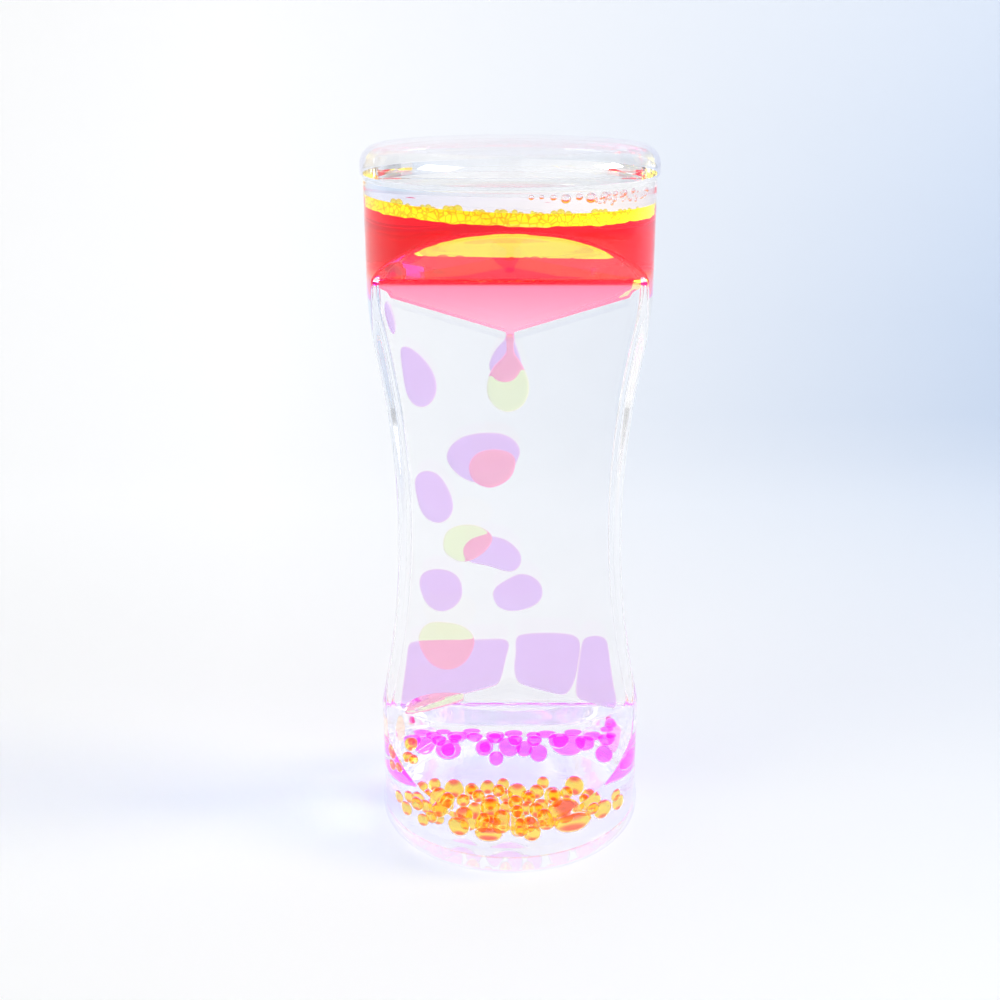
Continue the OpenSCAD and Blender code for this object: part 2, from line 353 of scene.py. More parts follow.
@dataclass(frozen=True)
class MilkyFinish(Finish):
    """Fine froth with small cells in it, and a painted glow in its own colour."""

    name: str = "milky_yellow_froth"
    pale: Colour = (1.0, 0.93, 0.06)
    deep: Colour = (1.0, 0.45, 0.0)
    cells: float = 900.0

    def _surface(self, tree: bpy.types.NodeTree) -> bpy.types.NodeSocket:
        """Adds the froth's cells and its painted glow.

        Args:
            tree: The material's node tree.

        Returns:
            The surface's socket.
        """
        nodes, links = tree.nodes, tree.links
        place = nodes.new("ShaderNodeTexCoord")
        cell = nodes.new("ShaderNodeTexVoronoi")
        cell.feature = "DISTANCE_TO_EDGE"
        cell.inputs["Scale"].default_value = self.cells
        links.new(place.outputs["Object"], cell.inputs["Vector"])
        ramp = nodes.new("ShaderNodeValToRGB")
        ramp.color_ramp.elements[0].position = 0.0
        ramp.color_ramp.elements[0].color = (*self.deep, 1)
        ramp.color_ramp.elements[1].position = 0.14
        ramp.color_ramp.elements[1].color = (*self.pale, 1)
        links.new(cell.outputs["Distance"], ramp.inputs["Fac"])
        shader = nodes.new("ShaderNodeBsdfPrincipled")
        shader.inputs["Roughness"].default_value = 0.5
        links.new(ramp.outputs["Color"], shader.inputs["Base Color"])
        # Painted glow: the froth gives off light in its own colour, though it is no lamp.
        links.new(ramp.outputs["Color"], shader.inputs["Emission Color"])
        shader.inputs["Emission Strength"].default_value = 0.3
        return shader.outputs["BSDF"]


OUTER = ClearFinish("outer_clear_plastic", 1.49, shadow=(0.74, 0.80, 0.93),
                    wave=0.0006, wave_size=70, gloss=0.12)
SCOOP = ClearFinish("lower_scoop_plastic", 1.2)
# Its rim tint paints lilac-grey edge shade where the surface turns away.
CAP = ClearFinish("polished_clear_cap", 1.0, coat=2.6, shadow=(0.74, 0.80, 0.93),
                  rim=(0.8, 0.78, 0.9))
INNER = ClearFinish("oiled_inner_wall", 1.02)
# Its rim tint paints faint edge shade where the surface turns away.
INSIDE = ClearFinish("clear_plastic_in_oil", 1.0, rim=(0.96, 0.96, 0.98))
BONDED = BondedFinish()
# Painted glow: the yellow water and its surface finish give off faint red light.
YELLOW = ClearFinish("deep_yellow_water", 1.01, shadow=(0.97, 0.96, 0.8),
                     glow=(0.07, 0.0, 0.0), stops=(
    (106.0, (1.0, 0.97, 0.76)), (115.3, (1.0, 0.93, 0.55)), (117.5, (1.0, 0.93, 0.06)),
    (130.0, (1.0, 0.95, 0.06))))
# Painted glow: the magenta water and its surface finish give off faint red light.
MAGENTA = ClearFinish("deep_magenta_water", 1.01, shadow=(0.96, 0.85, 0.96),
                      glow=(0.07, 0.0, 0.01), stops=(
    (106.0, (1.0, 0.60, 1.0)), (115.3, (1.0, 0.33, 0.88)), (117.5, (1.0, 0.0008, 0.36)),
    (130.0, (1.0, 0.0008, 0.36))))
YELLOW_TOP = replace(YELLOW, name="yellow_water_surface", ior=0.93)
MAGENTA_TOP = replace(MAGENTA, name="magenta_water_surface", ior=0.93)
# Painted light on the thin drops: a highlight on the rim and a faint red glow.
LIME = ClearFinish("lime_water_layer", 1.03, tint=(0.84, 1.0, 0.74),
                   behind=(1.0, 0.93, 0.62), rim=(0.98, 0.99, 0.96), glow=(0.05, 0.0, 0.0))
LAVENDER = ClearFinish("lavender_water_layer", 1.03, tint=(0.77, 0.66, 1.0),
                       behind=(1.0, 0.54, 0.97), rim=(0.97, 0.95, 1.0),
                       glow=(0.05, 0.0, 0.0))
# Painted light on the yellow beads: red top light, a highlight on the rim and a faint glow.
YELLOW_BEAD = ClearFinish("yellow_water_bead", 0.93, tint=(1.0, 0.80, 0.14),
                          painted_crown_light=(1.0, 0.05, 0.1), rim=(1.0, 0.97, 0.85),
                          glow=(0.05, 0.02, 0.0))
# Painted light on the magenta beads: paler top light, a highlight on the rim and a faint
# glow.
MAGENTA_BEAD = ClearFinish("magenta_water_bead", 0.93, tint=(1.0, 0.22, 1.0),
                           painted_crown_light=(1.0, 0.36, 1.0), rim=(1.0, 0.88, 1.0),
                           glow=(0.04, 0.0, 0.03))
# The rim tints of both froths paint darker edge shade where the bubble turns away.
YELLOW_FROTH = ClearFinish("yellow_surface_froth", 1.06, tint=(1.0, 0.93, 0.12),
                           rim=(1.0, 0.35, 0.02))
MAGENTA_FROTH = ClearFinish("magenta_surface_froth", 1.06, tint=(1.0, 0.30, 0.55),
                            rim=(1.0, 0.10, 0.30))
# Its pink rim tint paints the reflection of the red water at the bubble's edge.
AIR_BUBBLE = ClearFinish("air_bubble_under_the_cap", 0.75, tint=(1.0, 0.97, 0.98),
                         rim=(1.0, 0.45, 0.60))


# Workbench


class Workbench:
    """Modelling steps that every piece shares."""

    @staticmethod
    def clear_selection() -> None:
        """Leaves edit mode and deselects everything."""
        if bpy.context.mode != "OBJECT":
            bpy.ops.object.mode_set(mode="OBJECT")
        bpy.ops.object.select_all(action="DESELECT")

    @staticmethod
    def take(piece: bpy.types.Object) -> None:
        """Makes one piece the only selected and the active one."""
        Workbench.clear_selection()
        piece.select_set(True)
        bpy.context.view_layer.objects.active = piece

    @staticmethod
    def named(name: str) -> bpy.types.Object:
        """Names the piece that an operator has just added, and returns it."""
        piece = bpy.context.object
        piece.name = name
        piece.data.name = name
        return piece

    @staticmethod
    def modify(piece: bpy.types.Object, kind: str, **settings: object) -> None:
        """Adds one modifier and applies it.

        Args:
            piece: The piece.
            kind: Blender's modifier type.
            **settings: The modifier's settings.
        """
        Workbench.take(piece)
        modifier = piece.modifiers.new(kind.lower(), kind)
        for key, value in settings.items():
            setattr(modifier, key, value)
        bpy.ops.object.modifier_apply(modifier=modifier.name)

    @staticmethod
    def edit(piece: bpy.types.Object, *steps: Callable[[], object]) -> None:
        """Runs edit-mode steps on the whole mesh.

        Args:
            piece: The piece.
            *steps: Calls that each run one operator.
        """
        Workbench.take(piece)
        bpy.ops.object.mode_set(mode="EDIT")
        bpy.ops.mesh.select_all(action="SELECT")
        for step in steps:
            step()
        bpy.ops.object.mode_set(mode="OBJECT")

    @staticmethod
    def tidy(piece: bpy.types.Object) -> None:
        """Merges doubles and turns all faces outwards.

        Args:
            piece: The piece.
        """
        Workbench.edit(
            piece,
            lambda: bpy.ops.mesh.remove_doubles(threshold=0.001 * MM),
            lambda: bpy.ops.mesh.normals_make_consistent(inside=False),
        )

    @staticmethod
    def settle(piece: bpy.types.Object, angle: float = 35) -> bpy.types.Object:
        """Brings the origin home and smooths the shading.

        Args:
            piece: The piece.
            angle: Edges sharper than this, in degrees, stay sharp.

        Returns:
            The same piece.
        """
        Workbench.take(piece)
        bpy.ops.object.transform_apply(location=True, rotation=True, scale=True)
        bpy.ops.object.shade_smooth_by_angle(angle=math.radians(angle))
        return piece

    @staticmethod
    def join(pieces: Sequence[bpy.types.Object], name: str) -> bpy.types.Object:
        """Joins pieces into the first one.

        Args:
            pieces: The pieces.
            name: The name of the result.

        Returns:
            The joined piece.
        """
        Workbench.clear_selection()
        for piece in pieces:
            piece.select_set(True)
        bpy.context.view_layer.objects.active = pieces[0]
        if len(pieces) > 1:
            bpy.ops.object.join()
        return Workbench.named(name)

    @staticmethod
    def copied(node: str, name: str) -> bpy.types.Object:
        """Copies a frame node as one merged mesh.

        Args:
            node: The node's name in the frame.
            name: The name of the copy.

        Returns:
            The copy.
        """
        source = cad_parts[node]
        piece = bpy.data.objects.new(name, source.data.copy())
        piece.data.materials.clear()
        bpy.context.scene.collection.objects.link(piece)
        Workbench.tidy(piece)
        return piece

    @staticmethod
    def softened(piece: bpy.types.Object, voxel: float, rounds: int) -> None:
        """Rounds a liquid's edges by an even remesh and smoothing.

        Args:
            piece: The piece.
            voxel: Size of the remesh.
            rounds: Smoothing rounds.
        """
        Workbench.modify(piece, "REMESH", mode="VOXEL", voxel_size=voxel * MM,
                         use_smooth_shade=True)
        Workbench.modify(piece, "SMOOTH", factor=0.5, iterations=rounds)

    @staticmethod
    def dress(piece: bpy.types.Object, body: Body, slot: Slot, *finishes: Finish,
              replaces: Iterable[str] = ()) -> bpy.types.Object:
        """Gives a piece its finishes and its body, and hides the nodes it stands for.

        Args:
            piece: The piece.
            body: The body it rides on.
            slot: The record's slot; not used.
            *finishes: Its finishes, in the order of the mesh's material indices.
            replaces: Names of the nodes it stands for.

        Returns:
            The same piece.
        """
        for finish in finishes:
            piece.data.materials.append(finish.material())
        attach(piece, body.value)
        names = tuple(replaces)
        if names:
            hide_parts(*names)
        LOG.info("%s: %d faces on %s", piece.name, len(piece.data.polygons), body.value)
        return piece


def smooth_min(first: float, second: float, blend: float) -> float:
    """Returns the smaller of two lengths, rounded where they meet.

    Args:
        first: One length.
        second: The other length.
        blend: Difference below which the corner is rounded.

    Returns:
        The blended length.
    """
    share = max(blend - abs(first - second), 0) / blend
    return min(first, second) - share * share * blend / 4


# Clear plastic


@dataclass
class Column:
    """The rule of the waisted column's outline, inside and outside."""

    height: float = 140.0
    radius: float = 27.0
    wall: float = 2.2
    waist_half_width: float = 21.8
    waist_arc: float = 172.0
    window: float = 9.2
    window_wall: float = 3.2
    scoop_start: float = 12.8
    scoop_floor: float = 23.5
    scoop_round: float = 3.0
    divider_half: float = 0.65
    groove: float = 1.05
    cap: float = 5.0

    @property
    def slope(self) -> float:
        """Rise of the scoop's slope for each millimetre of depth."""
        return (self.scoop_floor - self.scoop_start) / (self.radius - self.window)

    def half_width(self, z: float) -> float:
        """Returns half the width that the waist's long arc leaves at a height."""
        rise = z - self.height / 2
        return self.waist_half_width + self.waist_arc - math.sqrt(self.waist_arc**2 - rise**2)

    def depth(self, z: float, inset: float) -> float:
        """Finds how far the window's wall lies from the middle plane.

        Args:
            z: Height above the foot.
            inset: How far the wall's face lies inside the outer one.

        Returns:
            The distance from the middle plane.
        """
        low = min(z, self.height - z)
        length = math.hypot(1, self.slope)
        y = self.window - inset
        corner = (self.scoop_start + (self.radius - self.window + inset) * self.slope
                  - inset * length)
        bend = self.scoop_round + inset
        cut = bend / math.tan((math.pi / 2 + math.atan(self.slope)) / 2)
        if low >= corner + cut:
            return y
        if low <= corner - cut * self.slope / length:
            return y + (corner - low) / self.slope
        return y + bend - math.sqrt(bend**2 - (corner + cut - low) ** 2)

    def reach(self, angle: float, z: float, inset: float, window_inset: float,
              blend: float) -> float:
        """Finds the distance from the axis to the wall's face.

        Args:
            angle: Direction in the plane, from 0 at the side to 90 degrees at the window.
            z: Height above the foot.
            inset: How far the round and side faces lie inside the outer ones.
            window_inset: The same for the window.
            blend: Rounding of the vertical edges.

        Returns:
            The distance.
        """
        side = (self.half_width(z) - inset) / max(math.cos(angle), 1e-6)
        window = self.depth(z, window_inset) / max(math.sin(angle), 1e-6)
        return smooth_min(smooth_min(self.radius - inset, side, 0.5), window, blend)

    def quarter(self, z: float, inset: float, window_inset: float, blend: float,
                start: float) -> list[Point]:
        """Lists the points of a quarter outline, from the side to the window's middle.

        Args:
            z: Height above the foot.
            inset: Inset of the round and side faces.
            window_inset: Inset of the window.
            blend: Rounding of the vertical edges.
            start: Distance from the middle plane at which it starts.

        Returns:
            Points as distances along X and outwards along Y.
        """
        depth = self.depth(z, window_inset)
        width = self.half_width(z) - inset
        radius = self.radius - inset
        across = min(width, math.sqrt(max(radius**2 - depth**2, 0)))
        corner = min(math.atan2(depth, across), math.radians(86))
        first = math.atan2(start, min(width, radius))
        near, far = corner - 0.05, corner + 0.03
        angles = [first + (near - first) * i / 14 for i in range(14)]
        angles += [near + (far - near) * i / 12 for i in range(12)]
        angles += [math.pi / 2 - math.atan((1 - i / 12) * math.tan(math.pi / 2 - far))
                   for i in range(13)]
        points = []
        for angle in angles:
            r = self.reach(angle, z, inset, window_inset, blend)
            points.append((r * math.cos(angle), r * math.sin(angle)))
        return points

    def rows(self) -> list[float]:
        """Lists the heights of the rings, closer together on the scoops."""
        bands = ((5, 11.6, 5), (11.6, 14.2, 22), (14.2, 21.6, 16), (21.6, 26, 28),
                 (26, 36, 16), (36, 70, 18))
        low = [a + (b - a) * i / n for a, b, n in bands for i in range(n)] + [70.0]
        return low + [self.height - z for z in reversed(low[:-1])]


@dataclass
class Shell:
    """One half of the column's outer wall: a clear moulding with a scooped window."""

    side: Side
    column: Column = field(default_factory=Column)
    outer_blend: float = 1.3
    inner_blend: float = 1.0

    def ring(self, z: float) -> list[Point]:
        """Lists one ring of the closed wall section at a height.

        Args:
            z: Height above the foot.

        Returns:
            Points along X and outwards along Y, and the ring closes on itself.
        """
        column = self.column
        outer = column.quarter(z, 0, 0, self.outer_blend, 0)
        inner = column.quarter(z, column.wall, column.window_wall, self.inner_blend,
                               column.divider_half)
        across = min(column.half_width(z), column.radius) - column.wall + column.groove
        lip = [(across, 0.0), (across, column.divider_half)]
        return (outer + self._far_side(reversed(outer[:-1])) + self._far_side(lip)
                + self._far_side(inner) + inner[-2::-1] + lip[::-1])

    @staticmethod
    def _far_side(points: Iterable[Point]) -> list[Point]:
        """Returns the points as they lie on the other half of the width."""
        return [(-x, y) for x, y in points]

    def build(self) -> bpy.types.Object:
        """Builds the half shell and dresses it.

        Returns:
            The piece.
        """
        rows = self.column.rows()
        rings = [self.ring(z) for z in rows]
        count = len(rings[0])
        outer_count = 2 * len(self.column.quarter(70, 0, 0, 1, 0)) - 1
        Workbench.clear_selection()
        bpy.ops.mesh.primitive_grid_add(x_subdivisions=count, y_subdivisions=len(rows) - 1,
                                        size=2, location=(0, 0, 0))
        piece = Workbench.named(f"{self.side.prefix}_shell_wall")
        mesh = piece.data
        for face in mesh.polygons:
            column = int((face.center.x + 1) / 2 * count)
            face.material_index = (0 if column < outer_count - 1
                                   else 2 if column < outer_count + 2 or column >= count - 3
                                   else 1)
        for vertex in mesh.vertices:
            i = round((vertex.co.x + 1) / 2 * count) % count
            j = round((vertex.co.y + 1) / 2 * (len(rows) - 1))
            x, y = rings[j][i]
            vertex.co = Vector((x, self.side.value * y, rows[j])) * MM
        Workbench.edit(
            piece,
            lambda: bpy.ops.mesh.remove_doubles(threshold=0.001 * MM),
            lambda: bpy.ops.mesh.select_all(action="DESELECT"),
            lambda: bpy.ops.mesh.select_non_manifold(),
            lambda: bpy.ops.mesh.edge_face_add(),
            lambda: bpy.ops.mesh.select_all(action="SELECT"),
            lambda: bpy.ops.mesh.normals_make_consistent(inside=False),
        )
        for face in mesh.polygons:
            if abs(face.normal.z) > 0.99 and len(face.vertices) > 4:
                face.material_index = 2
            elif face.normal.z > 0.5 and face.material_index == 0:
                face.material_index = 3
        Workbench.settle(piece, 30)
        return Workbench.dress(piece, Body.COLUMN, Slot.CLEAR, OUTER, INNER, BONDED, SCOOP,
                               replaces=[f"{self.side.prefix}_shell"])


@dataclass
class EndCap:
    """A thick clear disc with a rounded rim, bonded to one end of the column."""

    top: bool
    column: Column = field(default_factory=Column)
    lip: float = 0.5
    rounding: float = 3.4
    spigot: float = 1.2
    spigot_play: float = 0.05
    around: int = 160

    def build(self) -> bpy.types.Object:
        """Builds the cap and dresses it.

        Returns:
            The piece.
        """
        column = self.column
        name = "top_cap" if self.top else "bottom_cap"
        Workbench.clear_selection()
        bpy.ops.mesh.primitive_cylinder_add(
            vertices=self.around, radius=(column.radius + self.lip) * MM,
            depth=column.cap * MM, location=(0, 0, column.cap / 2 * MM))
        piece = Workbench.named(f"{name}_disc")
        self._shape_disc(piece)
        pieces = [piece, *(self._spigot(side) for side in Side)]
        for part in pieces:
            for finish in (CAP, INNER, BONDED):
                part.data.materials.append(finish.material())
        piece = Workbench.join(pieces, f"{name}_disc")
        if self.top:
            Workbench.edit(piece, lambda: bpy.ops.transform.mirror(
                constraint_axis=(False, False, True), orient_type="GLOBAL",
                center_override=(0, 0, column.height / 2 * MM)),
                lambda: bpy.ops.mesh.normals_make_consistent(inside=False))
        Workbench.settle(piece, 30)
        return Workbench.dress(piece, Body.COLUMN, Slot.CLEAR, replaces=[name])

    def _shape_disc(self, piece: bpy.types.Object) -> None:
        """Rounds the outer rim and marks the face that is bonded to the shells.

        Args:
            piece: The disc.
        """
        Workbench.take(piece)
        mesh = piece.data
        bpy.ops.object.mode_set(mode="EDIT")
        bpy.ops.mesh.select_mode(type="EDGE")
        bpy.ops.mesh.select_all(action="DESELECT")
        bpy.ops.object.mode_set(mode="OBJECT")
        for edge in mesh.edges:
            edge.select = all(mesh.vertices[v].co.z < 0 for v in edge.vertices)
        bpy.ops.object.mode_set(mode="EDIT")
        bpy.ops.mesh.bevel(offset=self.rounding * MM, segments=10, profile=0.5,
                           affect="EDGES", clamp_overlap=False)
        bpy.ops.mesh.select_mode(type="FACE")
        bpy.ops.mesh.select_all(action="DESELECT")
        bpy.ops.object.mode_set(mode="OBJECT")
        for face in mesh.polygons:
            face.select = face.normal.z > 0.99
        bpy.ops.object.mode_set(mode="EDIT")
        bpy.ops.mesh.inset(thickness=self.lip * MM)
        bpy.ops.object.mode_set(mode="OBJECT")
        for face in mesh.polygons:
            if face.normal.z > 0.99 and len(face.vertices) > 4:
                face.material_index = 2
        bpy.ops.object.transform_apply(location=True, rotation=True, scale=True)

    def _spigot(self, side: Side) -> bpy.types.Object:
        """Makes one half-round spigot that plugs a chamber's end.

        Args:
            side: The chamber.

        Returns:
            The spigot, still a piece of its own.
        """
        column = self.column
        Workbench.clear_selection()
        bpy.ops.mesh.primitive_cylinder_add(
            vertices=self.around,
            radius=(column.radius - column.wall - self.spigot_play) * MM,
            depth=self.spigot * MM,
            location=(0, 0, (column.cap + self.spigot / 2) * MM))
        piece = Workbench.named("spigot")
        bpy.ops.object.transform_apply(location=True, rotation=True, scale=True)
        Workbench.edit(piece, lambda: bpy.ops.mesh.bisect(
            plane_co=(0, side.value * column.divider_half * MM, 0),
            plane_no=(0, side.value, 0),
            use_fill=True, clear_inner=True))
        for face in piece.data.polygons:
            face.material_index = 2 if face.normal.z < -0.99 else 1
        return piece


@dataclass
class FillPlug:
    """The small plug that closes one chamber's filling hole in the top cap."""

    side: Side
    radius: float = 1.98
    offset: float = 12.0
    bottom: float = 133.0
    top: float = 139.9
    bevel: float = 0.35

    def build(self) -> bpy.types.Object:
        """Builds the plug and dresses it.

        Returns:
            The piece.
        """
        Workbench.clear_selection()
        bpy.ops.mesh.primitive_cylinder_add(
            vertices=48, radius=self.radius * MM, depth=(self.top - self.bottom) * MM,
            location=(0, self.side.value * self.offset * MM,
                      (self.top + self.bottom) / 2 * MM))
        piece = Workbench.named(f"{self.side.prefix}_plug")
        Workbench.modify(piece, "BEVEL", width=self.bevel * MM, segments=3,
                         limit_method="ANGLE", angle_limit=math.radians(40))
        Workbench.settle(piece)
        return Workbench.dress(piece, Body.COLUMN, Slot.CLEAR, INSIDE,
                               replaces=[f"{self.side.prefix}_fill_plug"])


@dataclass
class Divider:
    """The thin plate between the chambers, which keeps the frame's own exact faces."""

    node: str = "divider"

    def dress(self) -> None:
        """Gives the plate the finish of a clear wall with oil on both sides."""
        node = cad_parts[self.node]
        node.data.materials.clear()
        node.data.materials.append(INNER.material())
        LOG.info("%s: keeps its faces", self.node)


@dataclass
class Ramp:
    """One ramp, whose ends stop a hair short of the walls that they are bonded to."""

    node: str
    middle: float = 3.3
    share: float = 0.985

    def build(self) -> bpy.types.Object:
        """Builds the ramp from its solid and dresses it.

        Returns:
            The piece.
        """
        piece = Workbench.copied(self.node, f"{self.node}_plate")
        Workbench.take(piece)
        bpy.ops.mesh.customdata_custom_splitnormals_clear()
        for vertex in piece.data.vertices:
            side = math.copysign(1, vertex.co.y)
            from_middle = abs(vertex.co.y) - self.middle * MM
            vertex.co.y = side * (self.middle * MM + from_middle * self.share)
        Workbench.settle(piece, 30)
        return Workbench.dress(piece, Body.COLUMN, Slot.CLEAR, INSIDE,
                               replaces=[self.node])


# Liquids


@dataclass
class UpperPool:
    """The coloured water above one upper ramp.

    Attributes:
        side: Its chamber.
        lift: How much higher its surface stands than its solid's.
        lift_from: Height at which the lift starts.
        lift_span: Height over which it grows to all of it.
        top_from: Height above which a level face is the water's surface.
    """

    side: Side
    lift: float = 0.0
    lift_from: float = 114.0
    lift_span: float = 10.0
    top_from: float = 126.0
    voxel: float = 0.26
    rounds: int = 10

    def build(self) -> bpy.types.Object:
        """Builds the pool from its solid and dresses it.

        Returns:
            The piece.
        """
        node = f"{self.side.prefix}_upper_pool"
        piece = Workbench.copied(node, f"{self.side.prefix}_pool_water")
        Workbench.softened(piece, self.voxel, self.rounds)
        for vertex in piece.data.vertices:
            share = min(max((vertex.co.z / MM - self.lift_from) / self.lift_span, 0), 1)
            vertex.co.z += self.lift * share * MM
        Workbench.settle(piece, 180)
        for face in piece.data.polygons:
            level = face.normal.z > 0.97 and face.center.z > self.top_from * MM
            face.material_index = int(level)
        if self.side is Side.FRONT:
            return Workbench.dress(piece, Body.COLUMN, Slot.YELLOW, YELLOW, YELLOW_TOP,
                                   replaces=[node])
        return Workbench.dress(piece, Body.COLUMN, Slot.MAGENTA, MAGENTA, MAGENTA_TOP,
                               replaces=[node])


@dataclass
class FlatDrop:
    """A drop that the two walls of its chamber press flat.

    Attributes:
        node: The frame's node that it stands for.
        outline: Corners of its outline in X and Z, which are rounded off.
        side: Its chamber.
        body: The body it rides on.
    """

    node: str
    outline: tuple[Point, ...]
    side: Side
    body: Body
    middle: float = 3.3
    thickness: float = 4.7
    rim: float = 1.6
    trim: float = 0.0
    points: int = 72
    rings: int = 14

    def curve(self) -> list[Point]:
        """Rounds the outline by cutting its corners, and spaces the points evenly.

        Returns:
            The points in X and Z.
        """
        loop = list(self.outline)
        for _ in range(4):
            loop = [
                (a[0] * s + b[0] * (1 - s), a[1] * s + b[1] * (1 - s))
                for a, b in zip(loop, loop[1:] + loop[:1]) for s in (0.75, 0.25)
            ]
        lengths = [math.dist(a, b) for a, b in zip(loop, loop[1:] + loop[:1])]
        step = sum(lengths) / self.points
        even, travelled, target = [], 0.0, 0.0
        for start, end, length in zip(loop, loop[1:] + loop[:1], lengths):
            while target < travelled + length and len(even) < self.points:
                share = (target - travelled) / length
                even.append((start[0] + (end[0] - start[0]) * share,
                             start[1] + (end[1] - start[1]) * share))
                target += step
            travelled += length
        return even

    def build(self) -> bpy.types.Object:
        """Builds the drop and dresses it.

        Returns:
            The piece.
        """
        curve = self.curve()
        middle_x = sum(x for x, _ in curve) / len(curve)
        middle_z = sum(z for _, z in curve) / len(curve)
        radius = sum(math.dist(point, (middle_x, middle_z)) for point in curve) / len(curve)
        soft = min(self.rim / radius, 0.6)
        y = self.side.value * self.middle
        Workbench.clear_selection()
        bpy.ops.mesh.primitive_uv_sphere_add(segments=self.points, ring_count=self.rings,
                                             radius=1)
        piece = Workbench.named(f"{self.node}_water")
        for vertex in piece.data.vertices:
            turn = math.atan2(vertex.co.y, vertex.co.x) / math.tau * self.points
            ring = round(math.acos(max(-1, min(1, vertex.co.z))) / math.pi * self.rings)
            x, z = curve[round(turn) % self.points]
            x -= (x - middle_x) * self.trim / radius
            z -= (z - middle_z) * self.trim / radius
            lift = math.pi * min(max((ring - 1) / (self.rings - 2), 0), 1)
            share = 1 - soft + soft * math.sin(lift) if 0 < ring < self.rings else 0
            vertex.co = Vector((middle_x + (x - middle_x) * share,
                                y + self.thickness / 2 * math.cos(lift),
                                middle_z + (z - middle_z) * share)) * MM
        Workbench.tidy(piece)
        Workbench.settle(piece, 50)
        for face in piece.data.polygons:
            face.use_smooth = abs(face.normal.y) < 0.999
        front = self.side is Side.FRONT
        return Workbench.dress(piece, self.body,
                               Slot.THIN_YELLOW if front else Slot.THIN_MAGENTA,
                               LIME if front else LAVENDER, replaces=[self.node])


@dataclass
class SoftDrop:
    """A drop that keeps its solid's form, with its edges drawn round."""

    node: str
    side: Side
    thin: bool = True
    voxel: float = 0.22
    rounds: int = 8

    def build(self) -> bpy.types.Object:
        """Builds the drop and dresses it.

        Returns:
            The piece.
        """
        piece = Workbench.copied(self.node, f"{self.node}_water")
        Workbench.softened(piece, self.voxel, self.rounds)
        Workbench.settle(piece, 180)
        front = self.side is Side.FRONT
        if self.thin:
            slot = Slot.THIN_YELLOW if front else Slot.THIN_MAGENTA
            finish = LIME if front else LAVENDER
        else:
            slot = Slot.YELLOW if front else Slot.MAGENTA
            finish = YELLOW if front else MAGENTA
        return Workbench.dress(piece, Body.COLUMN, slot, finish, replaces=[self.node])


@dataclass
class Drops:
    """Every drop in both chambers."""

    def build(self) -> None:
        """Builds the falling drops, then the hanging, resting and slipping ones."""
        for node, outline in FALLING.items():
            front = node.startswith("front")
            FlatDrop(node, outline, Side.FRONT if front else Side.REAR,
                     Body.FRONT_STREAM if front else Body.REAR_STREAM, trim=0.3).build()
        for side in Side:
            node = f"{side.prefix}_hanging_drop"
            FlatDrop(node, HANGING[side], side, Body.COLUMN, rim=1.0, points=110).build()
        for node, outline in RESTING.items():
            FlatDrop(node, outline, Side.REAR, Body.COLUMN, rim=1.0, points=120).build()
        SoftDrop("rear_side_sliver", Side.REAR).build()
        SoftDrop("front_ramp_film", Side.FRONT).build()
        SoftDrop("front_gap_drop", Side.FRONT, thin=False, voxel=0.16, rounds=4).build()
        SoftDrop("rear_gap_drop", Side.REAR, thin=False, voxel=0.16, rounds=4).build()


